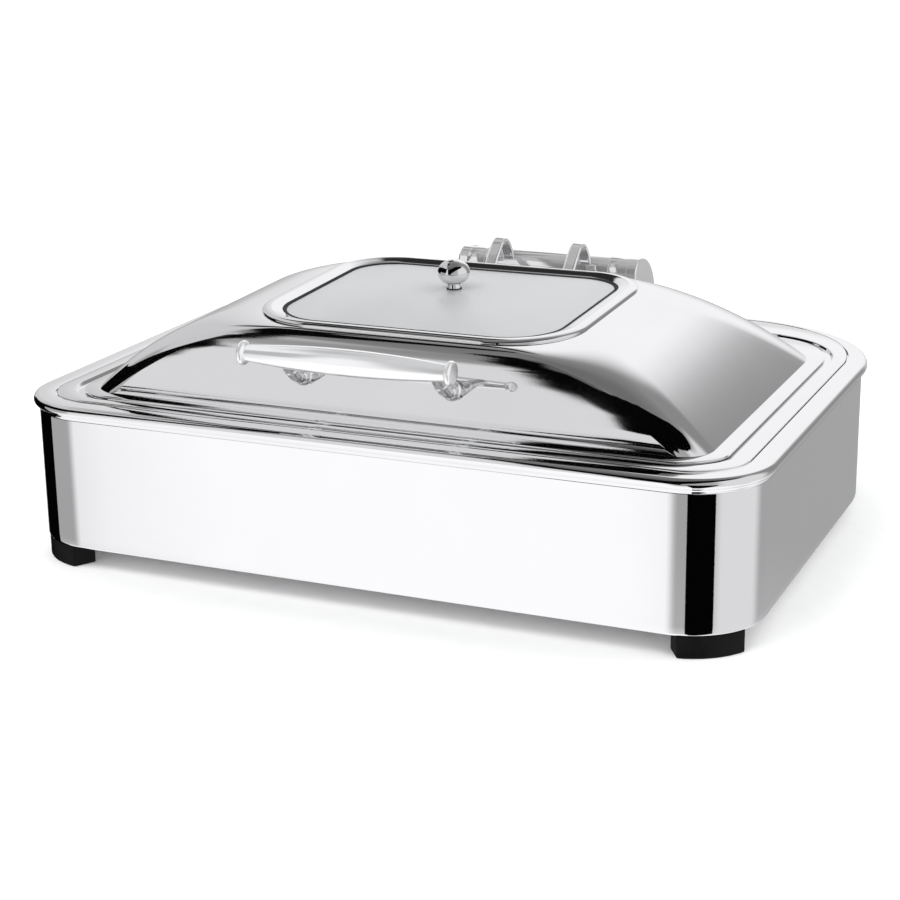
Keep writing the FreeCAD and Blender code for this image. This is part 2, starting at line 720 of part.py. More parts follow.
def handle_bar():
    """Barrel-shaped bar, fullest in the middle."""
    p0 = V(-BAR_HALF, BAR_Y, BAR_Z + BAR_END_R)
    mid = V(0, BAR_Y, BAR_Z + BAR_MID_R)
    p1 = V(BAR_HALF, BAR_Y, BAR_Z + BAR_END_R)
    a = V(-BAR_HALF, BAR_Y, BAR_Z)
    b = V(BAR_HALF, BAR_Y, BAR_Z)
    face = Part.Face(Part.Wire([
        Part.makeLine(a, p0),
        Part.Arc(p0, mid, p1).toShape(),
        Part.makeLine(p1, b),
        Part.makeLine(b, a),
    ]))
    return face.revolve(a, V(1, 0, 0), 360)


def handle_end_caps():
    """Flared collars that close the bar's ends."""
    x = BAR_HALF
    z = BAR_Z
    y = BAR_Y
    face = Part.Face(Part.Wire([
        Part.makeLine(V(x, y, z), V(x, y, z + BAR_END_R + 0.4)),
        Part.Arc(V(x, y, z + BAR_END_R + 0.4), V(x + 1.2, y, z + CAP_R - 0.8),
                 V(x + CAP_T * 0.45, y, z + CAP_R)).toShape(),
        Part.Arc(V(x + CAP_T * 0.45, y, z + CAP_R), V(x + CAP_T * 0.82, y, z + CAP_R * 0.8),
                 V(x + CAP_T, y, z + CAP_R * 0.45)).toShape(),
        Part.makeLine(V(x + CAP_T, y, z + CAP_R * 0.45), V(x + CAP_T, y, z)),
        Part.makeLine(V(x + CAP_T, y, z), V(x, y, z)),
    ]))
    return both(face.revolve(V(x, y, z), V(1, 0, 0), 360))


def pierce(outer, start, end):
    """Where a straight line first enters the dome."""
    inside = Part.makeLine(start, end).common(outer)
    return min((v.Point for v in inside.Vertexes), key=lambda p: p.distanceToPoint(start))


def seat_on(outer, start, end, side_a, side_b):
    """A point on the dome and the outward direction there."""
    p = pierce(outer, start, end)
    a = pierce(outer, start + side_a, end + side_a)
    b = pierce(outer, start + side_b, end + side_b)
    n = (a - p).cross(b - p)
    n.normalize()
    return p, n


def leg_place(outer):
    return seat_on(outer, V(LEG_X, BAR_Y, LEG_Z), V(LEG_X, WINDOW_Y, LEG_Z), V(1, 0, 0), V(0, 0, 1))


def arm_places(outer):
    """Foot screws of the right-hand arm: points on the dome and the outward direction."""
    out = []
    for s in (-1, 1):
        x = ARM_X + s * (ARM_PAD_W / 2 - 4.0)
        out.append(seat_on(outer, V(x, ARM_FOOT_Y, ARM_APEX_Z), V(x, ARM_FOOT_Y, LID_Z), V(1, 0, 0), V(0, 1, 0)))
    return out


def handle_leg(outer, bar, place):
    """Bent rod from a round boss on the lid out to the bar."""
    seat, n = place
    end = V(LEG_X, BAR_Y, BAR_Z)
    boss = cylinder(LEG_BOSS_R, seat - n * 3.0, seat + n * LEG_BOSS_T)
    lip = [e for e in boss.Edges if (e.CenterOfMass - seat).dot(n) > LEG_BOSS_T - 0.1]
    boss = boss.makeFillet(3.0, lip)
    spine = Part.BSplineCurve()
    run = seat.y - BAR_Y
    rise = BAR_Z - seat.z
    points = [seat + n * 2.0] + [seat + V(0, -run * a, rise * b) for a, b in LEG_BEND] + [end]
    spine.interpolate(points)
    path = Part.Wire([spine.toShape()])
    tangent = spine.tangent(0)[0]
    ring = Part.Wire([Part.makeCircle(LEG_R, points[0], tangent)])
    rod = path.makePipeShell([ring], True, True)
    s = boss.fuse(rod).cut(outer).cut(bar)
    s = s.cut(leg_screw_hole(place))
    return finish(max(s.Solids, key=lambda v: v.Volume))


def leg_screw_hole(place):
    seat, n = place
    return cylinder(LEG_SCREW_R, seat - n * 12, seat + n * (LEG_BOSS_T + 4))


def handle_washers(inner, place):
    """Load washers inside the lid behind the legs, formed to the sheet."""
    seat, n = place
    rod = cylinder(LEG_BOSS_R, seat - n * 12, seat)
    moved = inner.copy()
    moved.translate(n * -FORMED_T)
    s = rod.common(inner).cut(moved).cut(leg_screw_hole(place))
    s = max(s.Solids, key=lambda v: v.Volume)
    return both(s)


def sheet_depth(n):
    """Thickness of the lid measured along n."""
    return SHEET * (abs(n.y) + n.z)


def handle_screws(place):
    seat, n = place
    under = seat - n * (sheet_depth(n) + FORMED_T + SEAT_EASE)
    head = cylinder(LEG_SCREW_R * 1.9, under - n * 2.6, under)
    shank = cylinder(LEG_SCREW_R, under, seat + n * (LEG_BOSS_T + 4))
    drive = cylinder(1.4, under - n * 2.7, under - n * 1.2)
    return both(finish(head.fuse(shank)).cut(drive))


def hinge_screw_points():
    y0 = TOWER_FOOT_Y + 8.0
    y1 = AXIS_Y + TOWER_REAR_R - 15.0
    x0 = (COLLAR_HALF + TOWER_HALF) / 2
    return [(x0, y0), (-x0, y0), (x0, y1), (-x0, y1)]


def hinge_base_plate():
    y1 = AXIS_Y + TOWER_REAR_R
    s = Part.makeBox(2 * TOWER_HALF, y1 - TOWER_FOOT_Y, HINGE_PLATE_T, V(-TOWER_HALF, TOWER_FOOT_Y, FLANGE_Z))
    for x, y in hinge_screw_points():
        s = s.cut(cylinder(HINGE_SCREW_R, V(x, y, FLANGE_Z - 1), V(x, y, FLANGE_Z + 5)))
    return s


def tower(x0, x1):
    """End tower: round nose about the hinge axis, a full rear curve, foot on the deck."""
    r = BARREL_R
    s = math.sqrt(0.5)
    big = TOWER_REAR_R
    low_z = AXIS_Z + r - big
    base = FLANGE_Z + HINGE_PLATE_T

    def p(y, z):
        return V(x0, y, z)

    wire = Part.Wire([
        Part.Arc(p(AXIS_Y - r, AXIS_Z), p(AXIS_Y - r * s, AXIS_Z + r * s), p(AXIS_Y, AXIS_Z + r)).toShape(),
        Part.Arc(p(AXIS_Y, AXIS_Z + r), p(AXIS_Y + big * s, low_z + big * s), p(AXIS_Y + big, low_z)).toShape(),
        Part.makeLine(p(AXIS_Y + big, low_z), p(AXIS_Y + big, base)),
        Part.makeLine(p(AXIS_Y + big, base), p(TOWER_FOOT_Y, base)),
        Part.makeLine(p(TOWER_FOOT_Y, base), p(AXIS_Y - r, TOWER_NOSE_Z)),
        Part.makeLine(p(AXIS_Y - r, TOWER_NOSE_Z), p(AXIS_Y - r, AXIS_Z)),
    ])
    return Part.Face(wire).extrude(V(x1 - x0, 0, 0))


def hinge_tower():
    s = tower(COLLAR_HALF, TOWER_HALF)
    outer_edges = [e for e in s.Edges
                   if e.BoundBox.XMin > TOWER_HALF - 0.01 and e.BoundBox.ZMin > FLANGE_Z + HINGE_PLATE_T + 1]
    s = s.makeFillet(2.0, outer_edges)
    s = s.cut(along_x(SHAFT_R, COLLAR_HALF - 1, TOWER_HALF - SHAFT_BLIND))
    for x, y in hinge_screw_points():
        s = s.cut(cylinder(HINGE_SCREW_R, V(x, y, FLANGE_Z), V(x, y, FLANGE_Z + HINGE_PLATE_T + 9)))
    return s


def hinge_screws():
    """Screws up through the flange and the hinge plate into the towers."""
    out = []
    for x, y in hinge_screw_points():
        seat = FLANGE_Z - SHEET
        head = cylinder(HINGE_SCREW_HEAD_R, V(x, y, seat - 2.4), V(x, y, seat))
        shank = cylinder(HINGE_SCREW_R, V(x, y, seat), V(x, y, FLANGE_Z + HINGE_PLATE_T + 9))
        out.append(finish(head.fuse(shank)))
    return Part.makeCompound(out)


def hinge_rear_cover():
    """Curved sheet between the towers behind the barrel."""
    big = TOWER_REAR_R
    low_z = AXIS_Z + BARREL_R - big
    base = FLANGE_Z + HINGE_PLATE_T
    x0 = -COLLAR_HALF
    a = math.radians(COVER_TOP)

    def p(r, angle):
        return V(x0, AXIS_Y + r * math.cos(angle), low_z + r * math.sin(angle))

    inner = big - SHEET
    wire = Part.Wire([
        Part.Arc(p(big, 0), p(big, a / 2), p(big, a)).toShape(),
        Part.makeLine(p(big, a), p(inner, a)),
        Part.Arc(p(inner, a), p(inner, a / 2), p(inner, 0)).toShape(),
        Part.makeLine(p(inner, 0), V(x0, AXIS_Y + inner, base)),
        Part.makeLine(V(x0, AXIS_Y + inner, base), V(x0, AXIS_Y + big, base)),
        Part.makeLine(V(x0, AXIS_Y + big, base), p(big, 0)),
    ])
    return Part.Face(wire).extrude(V(2 * COLLAR_HALF, 0, 0))


def hinge_shaft():
    half = TOWER_HALF - SHAFT_BLIND
    s = along_x(SHAFT_R, -half, half)
    return s.makeChamfer(0.8, [e for e in s.Edges if isinstance(e.Curve, Part.Circle)])


def hinge_collar():
    s = along_x(BARREL_R, BARREL_HALF + BODY_GAP, COLLAR_HALF)
    s = s.makeFillet(0.8, [e for e in s.Edges
                           if isinstance(e.Curve, Part.Circle) and e.BoundBox.XMax < COLLAR_HALF - 1])
    return s.cut(along_x(SHAFT_R, BARREL_HALF - 1, COLLAR_HALF + 1))


def hinge_barrel():
    s = along_x(BARREL_R, -BARREL_HALF, BARREL_HALF)
    s = s.makeFillet(0.8, [e for e in s.Edges if isinstance(e.Curve, Part.Circle)])
    return s.cut(along_x(BARREL_R - BARREL_WALL, -BARREL_HALF - 1, BARREL_HALF + 1))


def barrel_bushes():
    r = BARREL_R - BARREL_WALL
    s = along_x(r, BARREL_HALF - BUSH_L, BARREL_HALF - 0.5)
    return both(s.cut(along_x(SHAFT_R + RUN_FIT, 0, BARREL_HALF + 1)))


def hinge_damper():
    end = BARREL_HALF - BUSH_L
    s = along_x(BARREL_R - BARREL_WALL, end - DAMPER_L, end)
    return s.cut(along_x(SHAFT_R + RUN_FIT, 0, BARREL_HALF + 1))


def closing_spring():
    """Torsion spring round the shaft, between the left bush and the damper."""
    x0 = -(BARREL_HALF - BUSH_L) + SPRING_WIRE_R
    x1 = BARREL_HALF - BUSH_L - DAMPER_L - SPRING_WIRE_R
    length = x1 - x0
    helix = Part.makeHelix(length / SPRING_TURNS, length, SPRING_R)
    ring = Part.Wire([Part.makeCircle(SPRING_WIRE_R, V(SPRING_R, 0, 0), V(0, 1, 0))])
    s = Part.Wire(helix.Edges).makePipeShell([ring], True, True)
    s.rotate(V(0, 0, 0), V(0, 1, 0), 90)
    s.translate(V(x0, AXIS_Y, AXIS_Z))
    return s


def arm_spine(foot_z):
    """Middle line of an arm seen from the side: lid foot, arch, barrel."""
    c = Part.BSplineCurve()
    c.interpolate([
        V(0, ARM_FOOT_Y, foot_z),
        V(0, ARM_APEX_Y - 16.5, ARM_APEX_Z - 8.5),
        V(0, ARM_APEX_Y, ARM_APEX_Z),
        V(0, AXIS_Y - BARREL_R * 0.95, AXIS_Z + BARREL_R * 1.1),
        V(0, AXIS_Y - BARREL_R * 0.6, AXIS_Z + BARREL_R * 0.2),
    ])
    return c


def arm_pad_box(x_half, length):
    return Part.makeBox(2 * x_half, length, 80, V(ARM_X - x_half, ARM_FOOT_Y - length * 0.6, ARM_APEX_Z - 60))


def hinge_arm(outer, barrel_round, places):
    c = arm_spine(places[0][0].z)
    path = Part.Wire([c.toShape()])
    start = c.value(c.FirstParameter)
    t = c.tangent(c.FirstParameter)[0]
    side = V(1, 0, 0)
    up = t.cross(side)
    flat = ARM_W / 2 - ARM_T / 2
    ht = ARM_T / 2
    a = start - side * flat
    b = start + side * flat
    ring = Part.Wire([
        Part.makeLine(a - up * ht, b - up * ht),
        Part.Arc(b - up * ht, b + side * ht, b + up * ht).toShape(),
        Part.makeLine(b + up * ht, a + up * ht),
        Part.Arc(a + up * ht, a - side * ht, a - up * ht).toShape(),
    ])
    strap = path.makePipeShell([ring], True, True)
    strap.translate(V(ARM_X, 0, 0))
    lifted = outer.copy()
    lifted.translate(V(0, 0, ARM_PAD_T))
    pad = lifted.cut(outer).common(arm_pad_box(ARM_PAD_W / 2, ARM_PAD_L))
    s = strap.fuse(pad).cut(outer).cut(barrel_round)
    s = max(s.Solids, key=lambda v: v.Volume)
    for hole in arm_screw_holes(places):
        s = s.cut(hole)
    return finish(s)


def arm_screw_holes(places):
    return [cylinder(ARM_SCREW_R, p - n * 12, p + n * 12) for p, n in places]


def arm_backing_plates(inner, places):
    moved = inner.copy()
    moved.translate(V(0, 0, -FORMED_T))
    s = arm_pad_box(ARM_PAD_W / 2, ARM_PAD_L).common(inner).cut(moved)
    s = max(s.Solids, key=lambda v: v.Volume)
    for hole in arm_screw_holes(places):
        s = s.cut(hole)
    return both(s)


def arm_screws(places):
    """Screws with low round heads outside and nuts inside the lid."""
    out = []
    for p, n in places:
        top = p + n * ARM_PAD_T * n.z
        low = p - n * (sheet_depth(n) + FORMED_T * n.z + SEAT_EASE)
        head = cylinder(ARM_SCREW_R * 1.4, top, top + n * 2.0)
        shank = cylinder(ARM_SCREW_R, low - n * 3.0, top)
        nut = cylinder(ARM_SCREW_R * 1.8, low - n * 2.6, low)
        s = finish(head.fuse([shank, nut]))
        out += [s, mirrored(s)]
    return Part.makeCompound(out)


outer = lid_outer()
inner = lid_inner()
bar = handle_bar()
barrel_round = along_x(BARREL_R, -BARREL_HALF, BARREL_HALF)
leg = leg_place(outer)
arms = arm_places(outer)
right_arm = hinge_arm(outer, barrel_round, arms)
right_leg = handle_leg(outer, bar, leg)
right_tower = hinge_tower()
right_collar = hinge_collar()

nodes = {
    "casing_shell": casing_shell(),
    "casing_rim": casing_rim(),
    "foot_screws": foot_screws(),
    "rim_seal": rim_seal(),
    "water_pan": water_pan(),
    "induction_base_plate": induction_base_plate(),
    "food_pan": food_pan(),
    "lid_shell": lid_shell(outer, inner, [leg_screw_hole(leg)] + arm_screw_holes(arms)),
    "window_frame": window_frame(),
    "window_gasket": window_gasket(),
    "window_glass": window_glass(),
    "window_retainer": window_retainer(),
    "retainer_screws": retainer_screws(),
    "glass_knob": glass_knob(),
    "knob_washers": knob_washers(),
    "knob_screw": knob_screw(),
    "handle_bar": bar,
    "handle_end_caps": handle_end_caps(),
    "handle_leg_right": right_leg,
    "handle_leg_left": mirrored(right_leg),
    "handle_washers": handle_washers(inner, leg),
    "handle_screws": handle_screws(leg),
    "hinge_base_plate": hinge_base_plate(),
    "hinge_tower_right": right_tower,
    "hinge_tower_left": mirrored(right_tower),
    "hinge_screws": hinge_screws(),
    "hinge_rear_cover": hinge_rear_cover(),
    "hinge_shaft": hinge_shaft(),
    "hinge_collars": both(right_collar),
    "hinge_barrel": hinge_barrel(),
    "barrel_bushes": barrel_bushes(),
    "hinge_damper": hinge_damper(),
    "closing_spring": closing_spring(),
    "hinge_arm_right": right_arm,
    "hinge_arm_left": mirrored(right_arm),
    "arm_backing_plates": arm_backing_plates(inner, arms),
    "arm_screws": arm_screws(arms),
}
nodes.update(feet())

for name, shape in nodes.items():
    shape.exportStep("parts/" + name + ".step")
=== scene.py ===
import json
import math

import bpy
import numpy as np
from mathutils import Matrix, Vector


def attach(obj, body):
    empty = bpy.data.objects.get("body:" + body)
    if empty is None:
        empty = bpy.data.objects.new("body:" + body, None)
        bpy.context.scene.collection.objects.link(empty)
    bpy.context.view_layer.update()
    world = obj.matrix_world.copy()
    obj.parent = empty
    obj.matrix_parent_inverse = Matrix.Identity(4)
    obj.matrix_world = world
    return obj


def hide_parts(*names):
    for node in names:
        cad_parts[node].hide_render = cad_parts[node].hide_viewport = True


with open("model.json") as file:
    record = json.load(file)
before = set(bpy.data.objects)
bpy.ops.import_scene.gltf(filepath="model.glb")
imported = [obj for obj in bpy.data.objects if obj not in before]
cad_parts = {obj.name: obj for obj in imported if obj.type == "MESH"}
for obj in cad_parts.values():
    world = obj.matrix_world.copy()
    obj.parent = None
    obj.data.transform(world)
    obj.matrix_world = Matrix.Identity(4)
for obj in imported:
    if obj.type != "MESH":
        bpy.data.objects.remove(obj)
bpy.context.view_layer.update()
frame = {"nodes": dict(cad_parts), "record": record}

MM = 0.001
SHARP = 38  # edges sharper than this stay sharp, degrees
NODES = frame["nodes"]
BODY_OF = {n: b for b, ns in frame["record"]["behaviour"]["bodies"].items() for n in ns}
SLOT_OF = {s["node"]: s["material_slot"] for s in frame["record"]["subparts"]}


# outlines and ring meshes, in millimetres until the mesh is made

class Outline:
    """A rectangle with round corners: half width, front and rear edge, front and rear radius."""

    corner_points = 40
    side_points = 16

    def __init__(self, half, front, rear, r_front, r_rear):
        self.half = half
        self.front = front
        self.rear = rear
        self.r_front = r_front
        self.r_rear = r_rear

    def inset(self, d):
        return Outline(self.half - d, self.front + d, self.rear - d,
                       max(self.r_front - d, 0.5), max(self.r_rear - d, 0.5))

    def ring(self, z):
        h, f, r, a, b = self.half, self.front, self.rear, self.r_front, self.r_rear
        t = np.linspace(0, math.pi / 2, self.corner_points)
        k = np.linspace(0, 1, self.side_points + 2)[1:-1]

        def side(x0, y0, x1, y1):
            return np.stack([x0 + (x1 - x0) * k, y0 + (y1 - y0) * k], -1)

        pts = np.concatenate([
            side(-h + a, f, h - a, f),
            np.stack([h - a + a * np.sin(t), f + a - a * np.cos(t)], -1),
            side(h, f + a, h, r - b),
            np.stack([h - b + b * np.cos(t), r - b + b * np.sin(t)], -1),
            side(h - b, r, -h + b, r),
            np.stack([-h + b - b * np.sin(t), r - b + b * np.cos(t)], -1),
            side(-h, r - b, -h, f + a),
            np.stack([-h + a - a * np.cos(t), f + a - a * np.sin(t)], -1),
        ])
        return np.column_stack([pts, np.full(len(pts), z)])


def arc(cx, cz, r, a0, a1, n):
    """Section points on an arc, degrees."""
    t = np.radians(np.linspace(a0, a1, n))
    return [(cx + r * math.cos(a), cz + r * math.sin(a)) for a in t]


def make(name, verts, faces, node):
    """The piece that stands in for a node of the frame."""
    mesh = bpy.data.meshes.new(name)
    mesh.from_pydata((np.asarray(verts) * MM).tolist(), [], faces)
    mesh.validate()
    mesh.shade_smooth()
    mesh.set_sharp_from_angle(angle=math.radians(SHARP))
    obj = bpy.data.objects.new(name, mesh)
    bpy.context.scene.collection.objects.link(obj)
    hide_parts(node)
    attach(obj, BODY_OF[node])
    return obj


def rings_mesh(rings, loop=False, cap_start=False, cap_end=False):
    """Faces between rings of equal length; loop joins the last ring to the first."""
    n = len(rings[0])
    verts = np.concatenate(rings)
    faces = []
    count = len(rings)
    for i in range(count if loop else count - 1):
        a = i * n
        b = ((i + 1) % count) * n
        for j in range(n):
            k = (j + 1) % n
            faces.append((a + j, a + k, b + k, b + j))
    if cap_start:
        faces.append(tuple(range(n - 1, -1, -1)))
    if cap_end:
        faces.append(tuple((count - 1) * n + j for j in range(n)))
    return verts, faces


def flipped(faces):
    return [tuple(reversed(f)) for f in faces]


def joined(*meshes):
    """One mesh from pairs of vertices and faces."""
    faces = []
    base = 0
    for verts, own in meshes:
        faces += [tuple(base + i for i in f) for f in own]
        base += len(verts)
    return np.concatenate([verts for verts, _ in meshes]), faces


def swept(outline, section):
    """Rings of a section of (outward, z) points carried round an outline."""
    return [outline.inset(-o).ring(z) for o, z in section]


def floor_bend(outline, r, floor, n):
    """Rings of the bend between a wall and the floor under it."""
    return [outline.inset(r * (1 - math.cos(a))).ring(floor + r * (1 - math.sin(a)))
            for a in np.linspace(0.12, math.pi / 2, n)]


# sizes of the object, in millimetres and in the frame's axes

SHEET = 1.5
CASE = Outline(318, -239, 251.5, 61.5, 140)
CASE_Z = 18.0
SEAM_Z = 130.5
ROLL_Z = 138.4
ROLL_R = 4.5
ROLL_CX = 0.1
RIM_Z = 142.9
LEDGE_Z = 138.4
FLANGE_Z = 143.2
FLOOR_Z = 140.2
SHELF_Z = 136.7
LID_Z = 143.0
WELL_Z = 38.0
WELL_TAPER = 9.0
FLANGE = CASE.inset(15.4)
FLANGE.rear = 245.5
RIM_HOLE = CASE.inset(14.2)
RIM_HOLE.rear = 246.7
RECESS = Outline(291.7, -212.7, 203.5, 47, 82)
LID_FOOT = Outline(271, -192, 173, 26.3, 65)
LID_RIM = RECESS.inset(7.7)
PAN_Y = LID_FOOT.front / 2 + LID_FOOT.rear / 2
WINDOW_Y = -43.0
WINDOW_Z = 212.0
WINDOW_TILT = 1.8
CREST = Outline(135.4, -111.5, 111.5, 58, 46)
LID_TOP = CREST.inset(-9.0)
LID_TOP.r_rear = 72.5
SIDE_POWER = 1.97
REAR_POWER = 1.5
REAR_BULGE_R = 18.0
FRONT_BULGE_R = -8.0
OPENING_IN = 3.0
FRAME_IN = 9.0
FRAME_OUT = 8.0
FRAME_H = 3.5
SEAL_SHOW = 3.5
GLASS_RISE = 8.0
GLASS_T = 4.0
KNOB_Y = -34.0
KNOB_R = 14.0
KNOB_HALF = 11.0
KNOB_LIFT = 2.4
BAR_Y = -245.5
BAR_Z = 206.0
BAR_HALF = 85
BAR_R = 10.7
BAR_END_R = 6.6
AXIS_Y = 197.5
AXIS_Z = 190.5
BARREL_HALF = 62.7
BARREL_R = 15.0
BARREL_BORE = 12.0
COLLAR_IN = 63.0
COLLAR_OUT = 81.0
SHAFT_R = 5.0
ROUND_SEG = 96


def on_window(points):
    """From the window's own plane to the object's frame."""
    t = math.radians(WINDOW_TILT)
    p = np.array(points, float)
    y = p[:, 1] * math.cos(t) - p[:, 2] * math.sin(t)
    z = p[:, 1] * math.sin(t) + p[:, 2] * math.cos(t)
    return np.stack([p[:, 0], y + WINDOW_Y, z + WINDOW_Z], -1)


def lid_ring(h, shrink=0.0, drop=0.0):
    side = 1 - (1 - h) ** (1 / SIDE_POWER)
    back = 1 - (1 - h) ** (1 / REAR_POWER)
    front = 1 - math.sqrt(max(0.0, 1 - h * h))
    mid = 4 * side * (1 - side)
    foot = LID_FOOT
    top = LID_TOP
    o = Outline(
        foot.half + (top.half - foot.half) * side,
        foot.front + (top.front + WINDOW_Y - foot.front) * front,
        foot.rear + (top.rear + WINDOW_Y - foot.rear) * back,
        foot.r_front + (top.r_front - foot.r_front) * side + FRONT_BULGE_R * mid,
        foot.r_rear + (top.r_rear - foot.r_rear) * side + REAR_BULGE_R * mid,
    ).inset(shrink)
    tilt = math.radians(WINDOW_TILT * h)
    level = (o.front + o.rear) / 2
    z = LID_Z + (WINDOW_Z - LID_Z) * h + (level - WINDOW_Y) * math.tan(tilt) - drop
    p = o.ring(0.0)
    d = p[:, 1] - level
    return np.stack([p[:, 0], level + d * math.cos(tilt), z + d * math.sin(tilt)], -1)


def build_casing_wall():
    t = SHEET
    bend = 2.5
    sec = [(-32.0, CASE_Z), (-6.0, CASE_Z)]
    sec += arc(-bend, CASE_Z + bend, bend, -90, 0, 7)
    sec += [(0, CASE_Z + 8.0), (0, SEAM_Z - 9.5), (0, SEAM_Z - 0.3), (-0.25, SEAM_Z)]
    sec += [(-t, SEAM_Z), (-t, CASE_Z + bend), (-t, CASE_Z + t), (-32.0, CASE_Z + t)]
    return make("casing_wall", *rings_mesh(swept(CASE, sec), loop=True), "casing_shell")


def build_casing_rim():
    t = SHEET
    neck = SEAM_Z + 2.5
    sec = [(-t, SEAM_Z), (-0.25, SEAM_Z), (0.02, SEAM_Z + 0.3)]
    sec += [(0.2, neck - 1.4), (0.65, neck - 0.3), (1.4, neck + 0.75)]
    sec += arc(ROLL_CX, ROLL_Z, ROLL_R, -52, 90, 26)
    sec += [(-2.0, RIM_Z), (-3.6, RIM_Z), (-4.8, RIM_Z), (-4.8, RIM_Z - t), (ROLL_CX, RIM_Z - t)]
    sec += arc(ROLL_CX, ROLL_Z, ROLL_R - t, 90, -52, 14)
    hole = RIM_HOLE
    inner = CASE.inset(4.8)
    led = [inner.ring(RIM_Z), inner.inset(0.4).ring(RIM_Z)]
    led += [hole.inset(-0.8).ring(RIM_Z), hole.inset(-0.25).ring(RIM_Z - 0.2), hole.ring(RIM_Z - 0.7)]
    led += [hole.ring(LEDGE_Z), CASE.inset(34).ring(LEDGE_Z), CASE.inset(34).ring(LEDGE_Z - t)]
    led += [hole.inset(-t).ring(LEDGE_Z - t), hole.inset(-t).ring(RIM_Z - t), inner.ring(RIM_Z - t)]
    parts = rings_mesh(swept(CASE, sec), loop=True), rings_mesh(led, loop=True)
    return make("casing_rolled_rim", *joined(*parts), "casing_rim")


def build_lid():
    t = SHEET
    hs = np.sin(np.linspace(0, math.pi / 2, 72))
    rings = [on_window(CREST.inset(OPENING_IN).ring(-t))]
    rings += [on_window(LID_TOP.inset(4.0).ring(-t))]
    rings += [lid_ring(h, t, t) for h in hs[::-1]]
    rings += [LID_FOOT.inset(t + 0.3).ring(LID_Z - t), LID_RIM.inset(t).ring(LID_Z - t)]
    rings += [LID_RIM.inset(t).ring(LID_Z - 2.5), LID_RIM.inset(0.3).ring(LID_Z - 2.5)]
    rings += [LID_RIM.ring(LID_Z - 2.2), LID_RIM.ring(LID_Z - 1.2)]
    rings += [LID_RIM.inset(0.35).ring(LID_Z - 0.35), LID_RIM.inset(1.2).ring(LID_Z)]
    rings += [LID_FOOT.inset(-1.2).ring(LID_Z), LID_FOOT.inset(-0.35).ring(LID_Z + 0.12)]
    rings += [lid_ring(h) for h in hs]
    rings += [on_window(LID_TOP.inset(0.6).ring(0)), on_window(LID_TOP.inset(2.0).ring(0))]
    rings += [on_window(CREST.inset(OPENING_IN).ring(0))]
    return make("lid_dome", *rings_mesh(rings, loop=True), "lid_shell")


def build_water_pan():
    t = SHEET
    f = FLANGE
    mid = (FLANGE_Z + FLOOR_Z) / 2
    shelf = Outline(267.5, PAN_Y - 165, PAN_Y + 165, 36.5, 36.5)
    well = Outline(257, PAN_Y - 154.5, PAN_Y + 154.5, 26, 26)
    rings = [f.inset(t).ring(FLANGE_Z - 3), f.ring(FLANGE_Z - 3), f.ring(FLANGE_Z - 1.0)]
    rings += [f.inset(0.3).ring(FLANGE_Z - 0.3), f.inset(1.0).ring(FLANGE_Z)]
    rings += [RECESS.inset(-1.0).ring(FLANGE_Z), RECESS.inset(-0.2).ring(FLANGE_Z - 0.05)]
    rings += [RECESS.inset(2.4 * k).ring(mid + 1.5 * math.cos(math.pi * k))
              for k in np.linspace(0.12, 0.88, 9)]
    rings += [RECESS.inset(2.6).ring(FLOOR_Z + 0.05), RECESS.inset(3.4).ring(FLOOR_Z)]
    rings += [shelf.inset(-1.0).ring(FLOOR_Z), shelf.inset(-0.3).ring(FLOOR_Z - 0.3)]
    rings += [shelf.ring(FLOOR_Z - 1.0), shelf.ring(SHELF_Z + 0.6), shelf.inset(0.6).ring(SHELF_Z)]
    rings += [well.inset(-1.0).ring(SHELF_Z), well.inset(-0.2).ring(SHELF_Z - 0.3)]
    rings += [well.inset(0.1).ring(SHELF_Z - 1.2)]
    bottom = WELL_Z + t
    taper = WELL_TAPER / (SHELF_Z - WELL_Z)
    bend = 14.5
    rings += [well.inset(0.2 + taper * (SHELF_Z - z)).ring(z) for z in (SHELF_Z - 4, 100, bottom + bend)]
    rings += floor_bend(well.inset(WELL_TAPER - taper * bend * 0.6), bend, bottom, 10)
    outer_bend = 16
    under = [f.inset(t).ring(FLANGE_Z - 3), f.inset(t).ring(FLANGE_Z - t)]
    under += [RECESS.inset(-0.4).ring(FLANGE_Z - t), RECESS.inset(2.4).ring(FLOOR_Z - t)]
    under += [shelf.inset(-t).ring(FLOOR_Z - t), shelf.inset(-t).ring(SHELF_Z - t)]
    under += [well.inset(-t).ring(SHELF_Z - t)]
    under += [well.inset(-t + taper * (SHELF_Z - z)).ring(z) for z in (100, WELL_Z + outer_bend)]
    outer = well.inset(WELL_TAPER - t - taper * outer_bend * 0.6)
    under += floor_bend(outer, outer_bend, WELL_Z, 9)
    verts, faces = rings_mesh(under, cap_end=True)
    parts = rings_mesh(rings, cap_end=True), (verts, flipped(faces))
    return make("drop_in_body", *joined(*parts), "water_pan")


